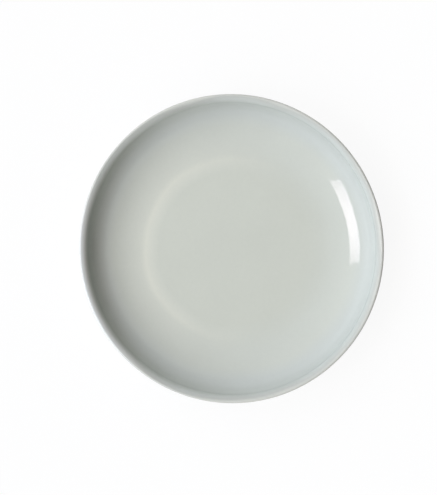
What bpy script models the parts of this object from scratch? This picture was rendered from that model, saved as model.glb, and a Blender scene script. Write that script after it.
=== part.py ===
"""Coupe soup plate: one fired clay body, with its glaze as separate coats, standing on a dry foot ring.

Units are metres and +Z is up. The origin is the centre of the foot ring, on the table.
Each outline is a half section of (radius, height) points that is turned about Z.
"""

import math

import bmesh
import bpy

# The finished plate, measured over its glaze
RIM_DIAMETER = 0.220
HEIGHT = 0.030
WALL_WIDTH = 0.046  # how far in from the rim the flat floor ends and the wall starts to rise
WALL_RADIUS = 0.100  # the curve of the lower wall, which leaves the floor level
BEND_WIDTH = 0.0165  # how far in from the rim the lower wall ends and bends up to the lip
BEND_THICKNESS = 0.0044  # of the wall where the bend starts
SHOULDER_RADIUS = 0.006  # the soft round at the top of the wall, inside the lip
SHOULDER_SLOPE = math.radians(20)  # where the shoulder ends and the tight round of the lip starts
LIP_THICKNESS = 0.0026
FLOOR_THICKNESS = 0.0050

# The foot ring under it
FOOT_INSET = 0.001  # how far its outer side stands inside the edge of the floor
FOOT_WIDTH = 0.0056
FOOT_HEIGHT = 0.0040
FOOT_FILLET = 0.0012  # where the ring meets the back of the plate
FOOT_EDGE_RADIUS = 0.0007  # round both edges of the face that stands on the table

# The glaze
GLAZE_THICKNESS = 0.0003
GLAZE_GAP = 0.0003  # between the clay and the glaze, which are separate solids
DRY_FOOT_HEIGHT = 0.0012  # the glaze stops this far above the table

# Facets
TURN_STEPS = 60
WALL_STEPS = 4
BEND_STEPS = 6
LIP_STEPS = (3, 1, 4)  # over the shoulder, up to the top of the lip, then out and down to the back
FILLET_STEPS = 3
EDGE_STEPS = 2
SHARP_ANGLE = math.radians(40)
MERGE_DISTANCE = 1e-6

# Colours, as linear values
CELADON_GLAZE = (0.584, 0.617, 0.563, 1.0)
BISCUIT_CLAY = (0.72, 0.69, 0.63, 1.0)

# Directions round an arc, as angles from straight down towards the rim
DOWN = 0.0
OUTWARDS = math.pi / 2
UP = math.pi
INWARDS = 1.5 * math.pi


def arc(centre, radius, start, end, steps):
    """Points round a centre, from one direction to another."""
    angles = [start + (end - start) * step / steps for step in range(steps + 1)]
    return [(centre[0] + radius * math.sin(a), centre[1] - radius * math.cos(a)) for a in angles]


def along(point, direction, distance):
    """The point that lies a distance away in a direction, which is an angle as in an arc."""
    return (point[0] + distance * math.sin(direction), point[1] - distance * math.cos(direction))


def touching_arc(start, slope, centre, radius):
    """The arc that leaves a point with a slope and touches a circle: its centre, radius and slope there.

    The circle lies inside the arc. A negative radius is for a circle outside it.
    """
    across = centre[0] - start[0]
    rise = centre[1] - start[1]
    above = rise * math.cos(slope) - across * math.sin(slope)
    arc_radius = (across**2 + rise**2 - radius**2) / (2 * (above - radius))
    arc_centre = along(start, slope, -arc_radius)
    return arc_centre, arc_radius, math.atan2(centre[0] - arc_centre[0], arc_centre[1] - centre[1])


class Section:
    """The arcs that make up the plate's half section, worked out from the driving sizes."""

    def __init__(self):
        self.lip_radius = LIP_THICKNESS / 2
        self.lip_centre = (RIM_DIAMETER / 2 - self.lip_radius, HEIGHT - self.lip_radius)
        self.shoulder_centre = along(self.lip_centre, SHOULDER_SLOPE, SHOULDER_RADIUS - self.lip_radius)

        # The lower wall leaves the floor level and ends at the start of the bend.
        well_radius = RIM_DIAMETER / 2 - WALL_WIDTH
        self.floor_level = FOOT_HEIGHT + FLOOR_THICKNESS
        self.wall_centre = (well_radius, self.floor_level + WALL_RADIUS)
        self.bend_slope = math.asin((WALL_WIDTH - BEND_WIDTH) / WALL_RADIUS)
        bend_start = along(self.wall_centre, self.bend_slope, WALL_RADIUS)

        # The bend carries on with the lower wall's slope and touches the outside of the shoulder's circle.
        bend = touching_arc(bend_start, self.bend_slope, self.shoulder_centre, -SHOULDER_RADIUS)
        self.bend_centre, self.bend_radius, self.steepest = bend

        # The back's bend starts with the same slope and holds the lip's circle inside it.
        bend_back = along(bend_start, self.bend_slope, BEND_THICKNESS)
        back_bend = touching_arc(bend_back, self.bend_slope, self.lip_centre, self.lip_radius)
        self.back_bend_centre, self.back_bend_radius, self.back_steepest = back_bend

        # From there the back eases until it is level with the underside.
        self.back_radius = (bend_back[1] - FOOT_HEIGHT) / (1 - math.cos(self.bend_slope))
        self.back_centre = along(bend_back, self.bend_slope, -self.back_radius)

        # The foot ring's fillets are no larger than half of its glazed side.
        self.fillet = min(FOOT_FILLET, (FOOT_HEIGHT - DRY_FOOT_HEIGHT) / 2)
        self.foot_outer = well_radius - FOOT_INSET
        self.foot_inner = self.foot_outer - FOOT_WIDTH
        reach = max(0.0, self.foot_outer + self.fillet - self.back_centre[0])
        self.back_end = math.asin(reach / (self.back_radius + self.fillet))
        drop = (self.back_radius + self.fillet) * math.cos(self.back_end)
        self.outer_fillet_centre = (self.foot_outer + self.fillet, self.back_centre[1] - drop)
        self.inner_fillet_centre = (self.foot_inner - self.fillet, FOOT_HEIGHT - self.fillet)

    def top(self, inset):
        """From the axis across the floor, up the wall and over the lip."""
        wall = (self.wall_centre, WALL_RADIUS + inset)
        bend = (self.bend_centre, self.bend_radius + inset)
        shoulder = (self.shoulder_centre, SHOULDER_RADIUS - inset)
        lip = (self.lip_centre, self.lip_radius - inset)
        return [
            (0.0, self.floor_level - inset),
            *arc(*wall, DOWN, self.bend_slope, WALL_STEPS)[:-1],
            *arc(*bend, self.bend_slope, self.steepest, BEND_STEPS)[:-1],
            *arc(*shoulder, self.steepest + UP, SHOULDER_SLOPE + UP, LIP_STEPS[0])[:-1],
            *arc(*lip, SHOULDER_SLOPE + UP, UP, LIP_STEPS[1])[:-1],
            *arc(*lip, UP, self.back_steepest, LIP_STEPS[2]),
        ]

    def back(self, inset):
        """From the lip down the back of the bend and in to the foot ring's outer side."""
        bend = (self.back_bend_centre, self.back_bend_radius - inset)
        ease = (self.back_centre, self.back_radius - inset)
        fillet = (self.outer_fillet_centre, self.fillet + inset)
        return [
            *arc(*bend, self.back_steepest, self.bend_slope, BEND_STEPS)[1:],
            *arc(*ease, self.bend_slope, self.back_end, WALL_STEPS)[1:],
            *arc(*fillet, self.back_end + UP, INWARDS, FILLET_STEPS)[1:],
        ]

    def base(self, inset):
        """From the foot ring's inner side round into the recess and in to the axis."""
        fillet = (self.inner_fillet_centre, self.fillet + inset)
        return [*arc(*fillet, OUTWARDS, UP, FILLET_STEPS), (0.0, FOOT_HEIGHT + inset)]

    def foot(self, inset):
        """The dry face that stands on the table, with both of its rounded edges."""
        edge = FOOT_EDGE_RADIUS
        return [
            *arc((self.foot_outer - inset - edge, edge), edge, OUTWARDS, DOWN, EDGE_STEPS),
            *arc((self.foot_inner + inset + edge, edge), edge, DOWN, -OUTWARDS, EDGE_STEPS),
        ]


def material(name, colour, roughness):
    """A Principled material of one colour."""
    made = bpy.data.materials.new(name)
    made.use_nodes = True
    shader = made.node_tree.nodes["Principled BSDF"]
    shader.inputs["Base Color"].default_value = colour
    shader.inputs["Roughness"].default_value = roughness
    shader.inputs["Metallic"].default_value = 0.0
    return made


def turn(name, outline, finish):
    """One solid of revolution, from an outline that starts and ends on the axis."""
    bm = bmesh.new()
    points = [bm.verts.new((radius, 0.0, height)) for radius, height in outline]
    lines = [bm.edges.new(pair) for pair in zip(points, points[1:])]
    bmesh.ops.spin(
        bm, geom=points + lines, axis=(0, 0, 1), cent=(0, 0, 0), angle=2 * math.pi, steps=TURN_STEPS
    )
    bmesh.ops.remove_doubles(bm, verts=bm.verts, dist=MERGE_DISTANCE)
    bmesh.ops.recalc_face_normals(bm, faces=bm.faces)
    mesh = bpy.data.meshes.new(name)
    bm.to_mesh(mesh)
    bm.free()
    mesh.shade_smooth()
    mesh.set_sharp_from_angle(angle=SHARP_ANGLE)
    mesh.materials.append(finish)
    solid = bpy.data.objects.new(name, mesh)
    bpy.context.scene.collection.objects.link(solid)
    return solid


def ceramic_body(section, finish):
    """The clay, set back from the finished surface by the glaze and its gap."""
    inset = GLAZE_THICKNESS + GLAZE_GAP
    outline = [*section.top(inset), *section.back(inset), *section.foot(inset), *section.base(inset)]
    return turn("ceramic_body", outline, finish)


def glaze_coat(section, finish):
    """The main coat: the top, the lip and the back, down to the dry foot."""

    def face(inset):
        edge = (section.foot_outer - inset, DRY_FOOT_HEIGHT)
        return [*section.top(inset), *section.back(inset), edge]

    return turn("glaze_coat", [*face(0.0), *reversed(face(GLAZE_THICKNESS))], finish)


def base_glaze(section, finish):
    """The patch of glaze in the recess, which the dry foot parts from the main coat."""

    def face(inset):
        edge = (section.foot_inner + inset, DRY_FOOT_HEIGHT)
        return [edge, *section.base(inset)]

    return turn("base_glaze", [*reversed(face(0.0)), *face(GLAZE_THICKNESS)], finish)


def main():
    for old in list(bpy.data.objects):
        bpy.data.objects.remove(old)
    section = Section()
    glaze = material("celadon_glaze", CELADON_GLAZE, 0.08)
    clay = material("biscuit_clay", BISCUIT_CLAY, 0.75)
    plate = bpy.data.objects.new("soup_plate", None)
    bpy.context.scene.collection.objects.link(plate)
    pieces = [ceramic_body(section, clay), glaze_coat(section, glaze), base_glaze(section, glaze)]
    for piece in pieces:
        piece.parent = plate


main()
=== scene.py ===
import math

import bmesh
import bpy
from mathutils import Matrix, Vector


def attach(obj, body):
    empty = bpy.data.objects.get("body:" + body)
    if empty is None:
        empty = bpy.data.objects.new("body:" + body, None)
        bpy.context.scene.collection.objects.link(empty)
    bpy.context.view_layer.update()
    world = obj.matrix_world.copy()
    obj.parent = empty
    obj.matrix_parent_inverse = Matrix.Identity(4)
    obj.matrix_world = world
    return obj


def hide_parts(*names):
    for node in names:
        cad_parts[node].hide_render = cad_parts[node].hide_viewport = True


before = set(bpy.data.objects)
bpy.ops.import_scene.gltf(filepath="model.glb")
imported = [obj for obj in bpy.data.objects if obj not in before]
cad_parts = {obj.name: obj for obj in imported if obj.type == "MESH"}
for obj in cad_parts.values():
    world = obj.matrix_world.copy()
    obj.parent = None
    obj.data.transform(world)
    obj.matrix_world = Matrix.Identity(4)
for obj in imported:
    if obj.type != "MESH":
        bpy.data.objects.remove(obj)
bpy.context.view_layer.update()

# The plate's driving sizes in metres, as in the CAD model
RIM_DIAMETER = 0.220
HEIGHT = 0.030
WALL_WIDTH = 0.046  # from the rim in to the edge of the flat floor
WALL_RADIUS = 0.100  # the curve of the lower wall
BEND_WIDTH = 0.0165  # from the rim in to the start of the bend
BEND_THICKNESS = 0.0044  # of the wall where the bend starts
SHOULDER_RADIUS = 0.006  # the soft round inside the lip
SHOULDER_SLOPE = math.radians(20)  # where the shoulder ends and the lip starts
LIP_THICKNESS = 0.0026
FLOOR_THICKNESS = 0.0050
FOOT_INSET = 0.001
FOOT_WIDTH = 0.0056
FOOT_HEIGHT = 0.0040
FOOT_FILLET = 0.0012
FOOT_EDGE_RADIUS = 0.0007
GLAZE_THICKNESS = 0.0003
GLAZE_GAP = 0.0003
DRY_FOOT_HEIGHT = 0.0012  # the glaze stops this far above the table

# The rolled edge where the glaze stops above the dry foot
BEAD_RADIUS = 0.00024
BEAD_PROUD = 0.00012

# Facets of the visible surfaces
TURN_STEPS = 192
FLOOR_STEPS = 8
WALL_STEPS = 24
BEND_STEPS = 24
LIP_STEPS = (12, 6, 13)  # over the shoulder, to the top of the lip, and down to the back
SMALL_STEPS = 8
MERGE_DISTANCE = 1e-7

# Directions round an arc, as angles from straight down towards the rim
DOWN = 0.0
OUTWARDS = math.pi / 2
UP = math.pi
INWARDS = 1.5 * math.pi


def arc(centre, radius, start, end, steps):
    """Points round a centre, from one direction to another."""
    angles = [start + (end - start) * step / steps for step in range(steps + 1)]
    return [(centre[0] + radius * math.sin(a), centre[1] - radius * math.cos(a)) for a in angles]


def along(point, direction, distance):
    """The point that lies a distance away in a direction, which is an angle as in an arc."""
    return (point[0] + distance * math.sin(direction), point[1] - distance * math.cos(direction))


def touching_arc(start, slope, centre, radius):
    """The arc that leaves a point with a slope and touches a circle.

    It comes as its centre, its radius and its slope where the two touch. The circle lies inside
    the arc. A negative radius is for a circle outside it.
    """
    across = centre[0] - start[0]
    rise = centre[1] - start[1]
    above = rise * math.cos(slope) - across * math.sin(slope)
    arc_radius = (across**2 + rise**2 - radius**2) / (2 * (above - radius))
    arc_centre = along(start, slope, -arc_radius)
    end_slope = math.atan2(centre[0] - arc_centre[0], arc_centre[1] - centre[1])
    return arc_centre, arc_radius, end_slope


# The arcs of the half section
LIP_RADIUS = LIP_THICKNESS / 2
LIP_CENTRE = (RIM_DIAMETER / 2 - LIP_RADIUS, HEIGHT - LIP_RADIUS)
SHOULDER_CENTRE = along(LIP_CENTRE, SHOULDER_SLOPE, SHOULDER_RADIUS - LIP_RADIUS)
WELL_RADIUS = RIM_DIAMETER / 2 - WALL_WIDTH
FLOOR_LEVEL = FOOT_HEIGHT + FLOOR_THICKNESS
WALL_CENTRE = (WELL_RADIUS, FLOOR_LEVEL + WALL_RADIUS)
BEND_SLOPE = math.asin((WALL_WIDTH - BEND_WIDTH) / WALL_RADIUS)
BEND_START = along(WALL_CENTRE, BEND_SLOPE, WALL_RADIUS)
BEND = touching_arc(BEND_START, BEND_SLOPE, SHOULDER_CENTRE, -SHOULDER_RADIUS)
BEND_CENTRE, BEND_RADIUS, STEEPEST = BEND
BEND_BACK = along(BEND_START, BEND_SLOPE, BEND_THICKNESS)
BACK_BEND = touching_arc(BEND_BACK, BEND_SLOPE, LIP_CENTRE, LIP_RADIUS)
BACK_BEND_CENTRE, BACK_BEND_RADIUS, BACK_STEEPEST = BACK_BEND
BACK_RADIUS = (BEND_BACK[1] - FOOT_HEIGHT) / (1 - math.cos(BEND_SLOPE))
BACK_CENTRE = along(BEND_BACK, BEND_SLOPE, -BACK_RADIUS)
FOOT_OUTER = WELL_RADIUS - FOOT_INSET
FOOT_INNER = FOOT_OUTER - FOOT_WIDTH
BACK_END = math.asin((FOOT_OUTER + FOOT_FILLET - BACK_CENTRE[0]) / (BACK_RADIUS + FOOT_FILLET))
OUTER_FILLET_CENTRE = (
    FOOT_OUTER + FOOT_FILLET,
    BACK_CENTRE[1] - (BACK_RADIUS + FOOT_FILLET) * math.cos(BACK_END),
)
INNER_FILLET_CENTRE = (FOOT_INNER - FOOT_FILLET, FOOT_HEIGHT - FOOT_FILLET)


def top(inset):
    """From the axis across the floor, up the wall and over the lip."""
    wall = (WALL_CENTRE, WALL_RADIUS + inset)
    bend = (BEND_CENTRE, BEND_RADIUS + inset)
    shoulder = (SHOULDER_CENTRE, SHOULDER_RADIUS - inset)
    lip = (LIP_CENTRE, LIP_RADIUS - inset)
    level = FLOOR_LEVEL - inset
    return [
        *[(WELL_RADIUS * step / FLOOR_STEPS, level) for step in range(FLOOR_STEPS)],
        *arc(*wall, DOWN, BEND_SLOPE, WALL_STEPS)[:-1],
        *arc(*bend, BEND_SLOPE, STEEPEST, BEND_STEPS)[:-1],
        *arc(*shoulder, STEEPEST + UP, SHOULDER_SLOPE + UP, LIP_STEPS[0])[:-1],
        *arc(*lip, SHOULDER_SLOPE + UP, UP, LIP_STEPS[1])[:-1],
        *arc(*lip, UP, BACK_STEEPEST, LIP_STEPS[2]),
    ]


def back(inset):
    """From the lip down the back of the bend and in to the foot ring's outer side."""
    bend = (BACK_BEND_CENTRE, BACK_BEND_RADIUS - inset)
    ease = (BACK_CENTRE, BACK_RADIUS - inset)
    fillet = (OUTER_FILLET_CENTRE, FOOT_FILLET + inset)
    return [
        *arc(*bend, BACK_STEEPEST, BEND_SLOPE, BEND_STEPS)[1:],
        *arc(*ease, BEND_SLOPE, BACK_END, WALL_STEPS)[1:],
        *arc(*fillet, BACK_END + UP, INWARDS, SMALL_STEPS)[1:],
    ]


def base(inset):
    """From the foot ring's inner side round into the recess and in to the axis."""
    fillet = (INNER_FILLET_CENTRE, FOOT_FILLET + inset)
    return [*arc(*fillet, OUTWARDS, UP, SMALL_STEPS), (0.0, FOOT_HEIGHT + inset)]


def foot(inset):
    """The dry face that stands on the table, with both of its rounded edges."""
    edge = FOOT_EDGE_RADIUS
    return [
        *arc((FOOT_OUTER - inset - edge, edge), edge, OUTWARDS, DOWN, SMALL_STEPS),
        *arc((FOOT_INNER + inset + edge, edge), edge, DOWN, -OUTWARDS, SMALL_STEPS),
    ]


def bead(middle):
    """The rolled edge of a glaze at the foot, from its outer side round below to its inner side."""
    centre = (middle, DRY_FOOT_HEIGHT + BEAD_RADIUS)
    return arc(centre, BEAD_RADIUS, OUTWARDS, -OUTWARDS, SMALL_STEPS)


def settle(parts, place):
    """Puts points or faces in a fixed order, by where they are."""
    ordered = sorted(parts, key=lambda part: place(part)[:])
    ranks = {part: rank for rank, part in enumerate(ordered)}
    parts.sort(key=ranks.get)


def turn(name, outline, finish, node):
    """A finely turned surface from a closed half section, which stands for a CAD node."""
    bm = bmesh.new()
    points = [bm.verts.new((radius, 0.0, height)) for radius, height in outline]
    lines = [bm.edges.new(pair) for pair in zip(points, points[1:])]
    bmesh.ops.spin(
        bm,
        geom=points + lines,
        axis=(0, 0, 1),
        cent=(0, 0, 0),
        angle=2 * math.pi,
        steps=TURN_STEPS,
    )
    bmesh.ops.remove_doubles(bm, verts=bm.verts, dist=MERGE_DISTANCE)
    bmesh.ops.recalc_face_normals(bm, faces=bm.faces)

    # The steps above leave points and faces in an order that differs from run to run.
    settle(bm.verts, lambda point: point.co)
    settle(bm.faces, lambda face: face.calc_center_median())

    mesh = bpy.data.meshes.new(name)
    bm.to_mesh(mesh)
    bm.free()
    mesh.shade_smooth()
    mesh.materials.append(finish)
    piece = bpy.data.objects.new(name, mesh)
    bpy.context.scene.collection.objects.link(piece)
    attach(piece, "root")
    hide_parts(node)


WHITE = (1.0, 1.0, 1.0, 1.0)
NOISE_RANGE = (0.3, 0.7)  # most of the values of a noise lie in it


class Nodes:
    """Short ways to add and join the nodes of one shader tree."""

    def __init__(self, owner):
        owner.use_nodes = True
        self.tree = owner.node_tree
        self.tree.nodes.clear()

    def add(self, kind, inputs=None, **settings):
        """A node, with links or values for its inputs."""
        made = self.tree.nodes.new(kind)
        for name, value in settings.items():
            setattr(made, name, value)
        for key, value in (inputs or {}).items():
            if isinstance(value, bpy.types.NodeSocket):
                self.tree.links.new(value, made.inputs[key])
            else:
                made.inputs[key].default_value = value
        return made

    def maths(self, operation, *values):
        return self.add("ShaderNodeMath", dict(enumerate(values)), operation=operation).outputs[0]

    def vector(self, operation, inputs, output):
        return self.add("ShaderNodeVectorMath", inputs, operation=operation).outputs[output]

    def dot(self, vector, other):
        """How far a vector reaches in a fixed direction."""
        return self.vector("DOT_PRODUCT", {0: vector, 1: other}, "Value")

    def square(self, value):
        return self.maths("MULTIPLY", value, value)

    def noise(self, place, scale, detail=2.0, roughness=0.5):
        inputs = {"Vector": place, "Scale": scale, "Detail": detail, "Roughness": roughness}
        return self.add("ShaderNodeTexNoise", inputs).outputs["Fac"]

    def spread(self, value, source, target, interpolation="LINEAR"):
        """A value moved from one range to another, and held at the ends."""
        inputs = {
            "Value": value,
            "From Min": source[0],
            "From Max": source[1],
            "To Min": target[0],
            "To Max": target[1],
        }
        made = self.add("ShaderNodeMapRange", inputs, interpolation_type=interpolation)
        return made.outputs["Result"]

    def ramp(self, value, stops):
        """A colour that follows a value through a chain of stops."""
        made = self.add("ShaderNodeValToRGB", {"Fac": value})
        elements = made.color_ramp.elements
        while len(elements) < len(stops):
            elements.new(0.5)
        for element, (place, colour) in zip(elements, stops):
            element.position = place
            element.color = (*colour, 1.0)
        return made.outputs["Color"]

    def levels(self, value, stops):
        """A number that follows a value through a chain of stops."""
        return self.ramp(value, [(stop, (level, level, level)) for stop, level in stops])

    def mixed(self, factor, colour, other):
        """A colour that goes over to another, fixed one as the factor goes from 0 to 1."""
        made = self.add("ShaderNodeMix", data_type="RGBA")
        self.tree.links.new(factor, made.inputs["Factor"])
        self.tree.links.new(colour, made.inputs[6])
        made.inputs[7].default_value = (*other, 1.0)
        return made.outputs[2]

    def scaled(self, colour, factor):
        """A colour times a number near 1."""
        return self.vector("SCALE", {0: colour, "Scale": factor}, "Vector")

    def shade(self, place, scale, detail, amount):
        """A number that noise moves up and down from 1 by an amount."""
        return self.spread(self.noise(place, scale, detail), NOISE_RANGE, (1 - amount, 1 + amount))

    def seen(self):
        """1 for rays of the camera, of reflections and through glass, and 0 for rays of light."""
        path = self.add("ShaderNodeLightPath").outputs
        direct = self.maths("MAXIMUM", path["Is Camera Ray"], path["Is Glossy Ray"])
        return self.maths("MAXIMUM", direct, path["Is Transmission Ray"])


# Glaze colours as linear values, with the share of the rim's radius at which each is reached
FLOOR_GLAZE = (0.578, 0.601, 0.527)
WALL_GLAZE = (0.570, 0.597, 0.537)
UPPER_GLAZE = (0.552, 0.586, 0.549)
SHOULDER_GLAZE = (0.576, 0.611, 0.574)
CREST_GLAZE = (0.597, 0.633, 0.594)
LIP_GLAZE = (0.530, 0.548, 0.508)
EDGE_GLAZE = (0.630, 0.642, 0.585)
GLAZE_STOPS = (
    (0.500, FLOOR_GLAZE),
    (0.680, WALL_GLAZE),
    (0.800, WALL_GLAZE),
    (0.875, UPPER_GLAZE),
    (0.930, SHOULDER_GLAZE),
    (0.941, CREST_GLAZE),
    (0.957, CREST_GLAZE),
    (0.976, LIP_GLAZE),
    (0.990, EDGE_GLAZE),
)
WANDER = 0.0012  # how far noise moves the rings in and out, in metres
WANDER_SCALE = 22.0

# Painted reflection: a pale, creamy ring round the floor, by share of the rim's radius.
# It is strongest on the left, lit side and fades out towards the other side.
RING_REFLECTION_GLAZE = (0.662, 0.674, 0.587)
RING_REFLECTION_STOPS = ((0.505, 0.0), (0.555, 0.6), (0.590, 1.0), (0.625, 0.5), (0.720, 0.3), (0.800, 0.0))
LIT_SIDE = (-0.98, 0.20, 0.0)
LIT_SIDE_RANGE = (-0.4, 0.8)

# Painted highlight: the rim is painted pale on the side that faces the strip light, by share of
# the rim's radius, with a faint pale band lower on the shoulder. It reaches over the edge and
# down the outside under the lip.
LIP_HIGHLIGHT_GLAZE = (0.780, 0.800, 0.780)
LIP_HIGHLIGHT_STOPS = ((0.915, 0.0), (0.935, 0.22), (0.956, 0.0), (0.971, 0.85), (0.980, 1.0))
LAMP_SIDE = (-0.974, -0.225, 0.0)
LAMP_SIDE_RANGE = (0.74, 0.97)

# Painted light: how much paler the floor gets from its middle to the left, lit side, and darker to
# the other, and where this ends
PAINTED_FLOOR_LIGHT = 0.030
FLOOR_EXTENT = ((0.500, 1.0), (0.660, 0.0))

# The fine variation of the glaze
CLOUD_SCALE = 30.0
CLOUD_SHADE = 0.012
MOTTLE_SCALE = 420.0
MOTTLE_SHADE = 0.008
GLOSS_SCALE = 60.0
GLOSS_ROUGHNESS = (0.035, 0.055)
RIPPLE_SCALE = 160.0
RIPPLE_STRENGTH = 0.06
RIPPLE_DEPTH = 0.0004
GLAZE_IOR = 1.5


def glaze_colour(nodes, place):
    """Celadon that drifts slowly from the floor to the lip, with painted light and highlights on
    the lit side.
    """
    flat = nodes.vector("MULTIPLY", {0: place, 1: (1.0, 1.0, 0.0)}, "Vector")
    radius = nodes.vector("LENGTH", {0: flat}, "Value")

    # The rings aren't drawn with a compass: slow noise moves them in and out.
    drift = nodes.noise(place, WANDER_SCALE, detail=1.0)
    wander = nodes.spread(drift, NOISE_RANGE, (-WANDER, WANDER))
    share = nodes.maths("DIVIDE", nodes.maths("ADD", radius, wander), RIM_DIAMETER / 2)
    colour = nodes.ramp(share, GLAZE_STOPS)

    # Painted reflection: the pale ring is strongest on the left side, where the light falls.
    side = nodes.dot(flat, LIT_SIDE)
    lit_side_share = nodes.spread(nodes.maths("DIVIDE", side, radius), LIT_SIDE_RANGE, (0.0, 1.0))
    ring_reflection = nodes.maths("MULTIPLY", nodes.levels(share, RING_REFLECTION_STOPS), lit_side_share)
    colour = nodes.mixed(ring_reflection, colour, RING_REFLECTION_GLAZE)

    # Painted highlight: the lip is paler on the side that faces the strip light.
    lamp_side_share = nodes.maths("DIVIDE", nodes.dot(flat, LAMP_SIDE), radius)
    lamp_facing = nodes.spread(lamp_side_share, LAMP_SIDE_RANGE, (0.0, 1.0))
    lip_highlight = nodes.maths("MULTIPLY", nodes.levels(share, LIP_HIGHLIGHT_STOPS), lamp_facing)
    colour = nodes.mixed(lip_highlight, colour, LIP_HIGHLIGHT_GLAZE)

    # Painted light and shade: the floor paler towards the lit side and darker away from it.
    extent = nodes.levels(share, FLOOR_EXTENT)
    painted_floor_light = nodes.spread(side, (-WELL_RADIUS, WELL_RADIUS), (-PAINTED_FLOOR_LIGHT, PAINTED_FLOOR_LIGHT))
    colour = nodes.scaled(colour, nodes.maths("MULTIPLY_ADD", extent, painted_floor_light, 1.0))
    clouds = nodes.shade(place, CLOUD_SCALE, 3.0, CLOUD_SHADE)
    mottle = nodes.shade(place, MOTTLE_SCALE, 2.0, MOTTLE_SHADE)
    return nodes.scaled(colour, nodes.maths("MULTIPLY", clouds, mottle))


def glaze_material():
    """A glossy glaze with a faint ripple."""
    made = bpy.data.materials.new("celadon_glaze_finish")
    nodes = Nodes(made)
    place = nodes.add("ShaderNodeTexCoord").outputs["Object"]
    gloss = nodes.spread(nodes.noise(place, GLOSS_SCALE), NOISE_RANGE, GLOSS_ROUGHNESS)
    ripple = nodes.noise(place, RIPPLE_SCALE, detail=1.0)
    bump = nodes.add(
        "ShaderNodeBump",
        {"Height": ripple, "Strength": RIPPLE_STRENGTH, "Distance": RIPPLE_DEPTH},
    )
    shader = nodes.add(
        "ShaderNodeBsdfPrincipled",
        {
            "Base Color": glaze_colour(nodes, place),
            "Roughness": gloss,
            "Normal": bump.outputs["Normal"],
            "IOR": GLAZE_IOR,
        },
    )
    nodes.add("ShaderNodeOutputMaterial", {"Surface": shader.outputs["BSDF"]})
    return made


# The dry clay, with linear colours
CLAY_STOPS = ((0.30, (0.64, 0.60, 0.53)), (0.70, (0.76, 0.73, 0.67)))
CLAY_SCALE = 90.0
GRAIN_SCALE = 2600.0
GRAIN_RANGE = (0.25, 0.75)
GRAIN_SHADE = (0.86, 1.10)
GRAIN_ROUGHNESS = (0.72, 0.88)
GRAIN_STRENGTH = 0.5
GRAIN_DEPTH = 0.00012


def clay_material():
    """Biscuit clay: matt and sandy, with fine dark and pale grains."""
    made = bpy.data.materials.new("biscuit_clay_finish")
    nodes = Nodes(made)
    place = nodes.add("ShaderNodeTexCoord").outputs["Object"]
    body = nodes.ramp(nodes.noise(place, CLAY_SCALE, detail=4.0), CLAY_STOPS)
    grains = nodes.noise(place, GRAIN_SCALE, roughness=0.7)
    bump = nodes.add(
        "ShaderNodeBump",
        {"Height": grains, "Strength": GRAIN_STRENGTH, "Distance": GRAIN_DEPTH},
    )
    shader = nodes.add(
        "ShaderNodeBsdfPrincipled",
        {
            "Base Color": nodes.scaled(body, nodes.spread(grains, GRAIN_RANGE, GRAIN_SHADE)),
            "Roughness": nodes.spread(grains, NOISE_RANGE, GRAIN_ROUGHNESS),
            "Normal": bump.outputs["Normal"],
        },
    )
    nodes.add("ShaderNodeOutputMaterial", {"Surface": shader.outputs["BSDF"]})
    return made


# The paper that the plate stands on
PAPER_TONES = ((0.3, 0.93), (0.7, 0.95))
FIBRE_SCALE = 300.0
WHITENESS = 0.92  # how far the camera and reflections see it as plain white
PAPER_HALF = 12.0  # half its width, in metres


def floor_material():
    """White paper, which is seen mostly as plain white, with a faint shadow."""
    made = bpy.data.materials.new("white_paper")
    nodes = Nodes(made)
    place = nodes.add("ShaderNodeTexCoord").outputs["Object"]
    tone = nodes.levels(nodes.noise(place, FIBRE_SCALE, detail=3.0), PAPER_TONES)
    paper = nodes.add("ShaderNodeBsdfDiffuse", {"Color": tone})
    white = nodes.add("ShaderNodeEmission", {"Color": WHITE, "Strength": 1.0})
    share = nodes.maths("MULTIPLY", nodes.seen(), WHITENESS)
    mixed = nodes.add(
        "ShaderNodeMixShader",
        {0: share, 1: paper.outputs["BSDF"], 2: white.outputs["Emission"]},
    )
    nodes.add("ShaderNodeOutputMaterial", {"Surface": mixed.outputs["Shader"]})
    return made


def build_plate():
    """The main coat of glaze, the patch of glaze in the recess, and the clay."""
    glaze = glaze_material()
    clay = clay_material()
    inner = GLAZE_THICKNESS

    edge = bead(FOOT_OUTER + BEAD_PROUD - BEAD_RADIUS)
    coat = [*top(0.0), *back(0.0), *edge, *reversed([*top(inner), *back(inner)])]
    turn("glaze_surface", coat, glaze, "glaze_coat")

    edge = bead(FOOT_INNER - BEAD_PROUD + BEAD_RADIUS)
    patch = [*reversed(base(inner)), *edge, *base(0.0)]
    turn("base_glaze_surface", patch, glaze, "base_glaze")

    inset = GLAZE_THICKNESS + GLAZE_GAP
    biscuit = [*top(inset), *back(inset), *foot(inset), *base(inset)]
    turn("clay_surface", biscuit, clay, "ceramic_body")


def build_floor():
    half = PAPER_HALF
    mesh = bpy.data.meshes.new("studio_floor")
    corners = [(-half, -half, 0.0), (half, -half, 0.0), (half, half, 0.0), (-half, half, 0.0)]
    mesh.from_pydata(corners, [], [(0, 1, 2, 3)])
    mesh.materials.append(floor_material())
    floor = bpy.data.objects.new("studio_floor", mesh)
    bpy.context.scene.collection.objects.link(floor)


# The strip light that shows as the highlight on the wall. It hangs upright, high on the left,
# and faces level across the plate. Its place is measured from a point on the right side.
STRIP_FOOT = Vector((0.085, 0.0, 0.0))
STRIP_AZIMUTH = math.radians(192.7)
STRIP_DISTANCE = 0.70
STRIP_ASIDE = -0.020
STRIP_LEVEL = 1.135
STRIP_WIDTH = 0.270
STRIP_HEIGHT = 0.330
STRIP_RADIANCE = 8.2  # in the middle
STRIP_COLOUR = (1.0, 0.88, 0.98)
STRIP_FALLOFF = 0.48  # the share that is lost at both ends of its width


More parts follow.
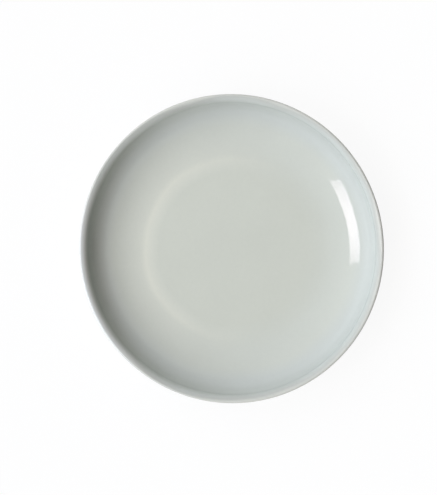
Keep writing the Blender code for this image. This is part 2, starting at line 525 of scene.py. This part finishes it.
def build_strip():
    """A rectangular lamp that dims towards both ends."""
    lamp = bpy.data.lights.new("strip_light", "AREA")
    lamp.shape = "RECTANGLE"
    lamp.size = STRIP_WIDTH
    lamp.size_y = STRIP_HEIGHT
    lamp.energy = STRIP_RADIANCE * math.pi * STRIP_WIDTH * STRIP_HEIGHT
    lamp.color = STRIP_COLOUR

    nodes = Nodes(lamp)
    place = nodes.add("ShaderNodeNewGeometry").outputs["Parametric"]
    share = nodes.add("ShaderNodeSeparateXYZ", {0: place}).outputs["X"]
    aside = nodes.spread(share, (0.0, 1.0), (-1.0, 1.0))
    dimmed = nodes.maths("MULTIPLY_ADD", nodes.square(aside), -STRIP_FALLOFF, 1.0)
    glow = nodes.add("ShaderNodeEmission", {"Color": WHITE, "Strength": dimmed})
    nodes.add("ShaderNodeOutputLight", {"Surface": glow.outputs["Emission"]})

    away = Vector((math.cos(STRIP_AZIMUTH), math.sin(STRIP_AZIMUTH), 0.0))
    across = Vector((-math.sin(STRIP_AZIMUTH), math.cos(STRIP_AZIMUTH), 0.0))
    raised = Vector((0.0, 0.0, STRIP_LEVEL))
    placed = Matrix((across, away.cross(across), away)).transposed().to_4x4()
    placed.translation = STRIP_FOOT + away * STRIP_DISTANCE + across * STRIP_ASIDE + raised
    strip = bpy.data.objects.new("strip_light", lamp)
    strip.matrix_world = placed
    strip.visible_camera = False
    bpy.context.scene.collection.objects.link(strip)


# The soft dome that lights the plate. It is brightest above and to the left of the plate, reaches
# farther towards the front and the back, and goes from a cool left to a warm right.
DOME_TILT = math.radians(31.3)
DOME_AZIMUTH = math.radians(181.0)
DOME_REACH = 0.654
DOME_EDGE = (0.780, 1.300)
DOME_RADIANCE = 11.2
DOME_SIDES = (0.4, -1.0)
DOME_RIGHT = (0.346, 0.228, 0.056)
DOME_LEFT = (0.711, 0.819, 1.000)


def build_dome():
    """The dome as the light of the world, in a surround that is seen as plain white."""
    world = bpy.data.worlds.new("studio")
    nodes = Nodes(world)
    direction = nodes.add("ShaderNodeTexCoord").outputs["Generated"]
    parts = nodes.add("ShaderNodeSeparateXYZ", {0: direction}).outputs
    flat = math.sin(DOME_TILT)
    middle = (flat * math.cos(DOME_AZIMUTH), flat * math.sin(DOME_AZIMUTH), math.cos(DOME_TILT))
    sideways = nodes.maths("MULTIPLY", nodes.square(parts["Y"]), DOME_REACH)
    nearness = nodes.maths("ADD", nodes.dot(direction, middle), sideways)
    radiance = nodes.spread(nearness, DOME_EDGE, (0.0, DOME_RADIANCE), "SMOOTHSTEP")
    above = nodes.maths("GREATER_THAN", parts["Z"], 0.0)
    leftness = nodes.spread(parts["X"], DOME_SIDES, (0.0, 1.0))
    dome = nodes.add(
        "ShaderNodeBackground",
        {
            "Color": nodes.ramp(leftness, ((0.0, DOME_RIGHT), (1.0, DOME_LEFT))),
            "Strength": nodes.maths("MULTIPLY", radiance, above),
        },
    )
    white = nodes.add("ShaderNodeBackground", {"Color": WHITE, "Strength": 1.0})
    mixed = nodes.add(
        "ShaderNodeMixShader",
        {0: nodes.seen(), 1: dome.outputs["Background"], 2: white.outputs["Background"]},
    )
    nodes.add("ShaderNodeOutputWorld", {"Surface": mixed.outputs["Shader"]})
    bpy.context.scene.world = world


# The camera, worked out from the ellipse of the rim in the photograph
CAMERA_AZIMUTH = math.radians(9.91)
CAMERA_ELEVATION = math.radians(79.23)
CAMERA_DISTANCE = 0.9
CAMERA_AIM = (-0.00699, 0.00120, 0.0289)
CAMERA_LENS = 91.92
CAMERA_SENSOR = 36.0


def build_camera():
    lens = bpy.data.cameras.new("camera")
    lens.sensor_fit = "VERTICAL"
    lens.sensor_height = CAMERA_SENSOR
    lens.lens = CAMERA_LENS
    flat = math.cos(CAMERA_ELEVATION)
    level = math.sin(CAMERA_ELEVATION)
    away = Vector((flat * math.cos(CAMERA_AZIMUTH), flat * math.sin(CAMERA_AZIMUTH), level))
    upright = Vector((0, 1, 0))
    upright = (upright - upright.dot(away) * away).normalized()
    placed = Matrix((upright.cross(away), upright, away)).transposed().to_4x4()
    placed.translation = Vector(CAMERA_AIM) + away * CAMERA_DISTANCE
    camera = bpy.data.objects.new("camera", lens)
    camera.matrix_world = placed
    scene = bpy.context.scene
    scene.collection.objects.link(camera)
    scene.camera = camera
    scene.view_settings.view_transform = "Standard"


build_plate()
build_floor()
build_strip()
build_dome()
build_camera()
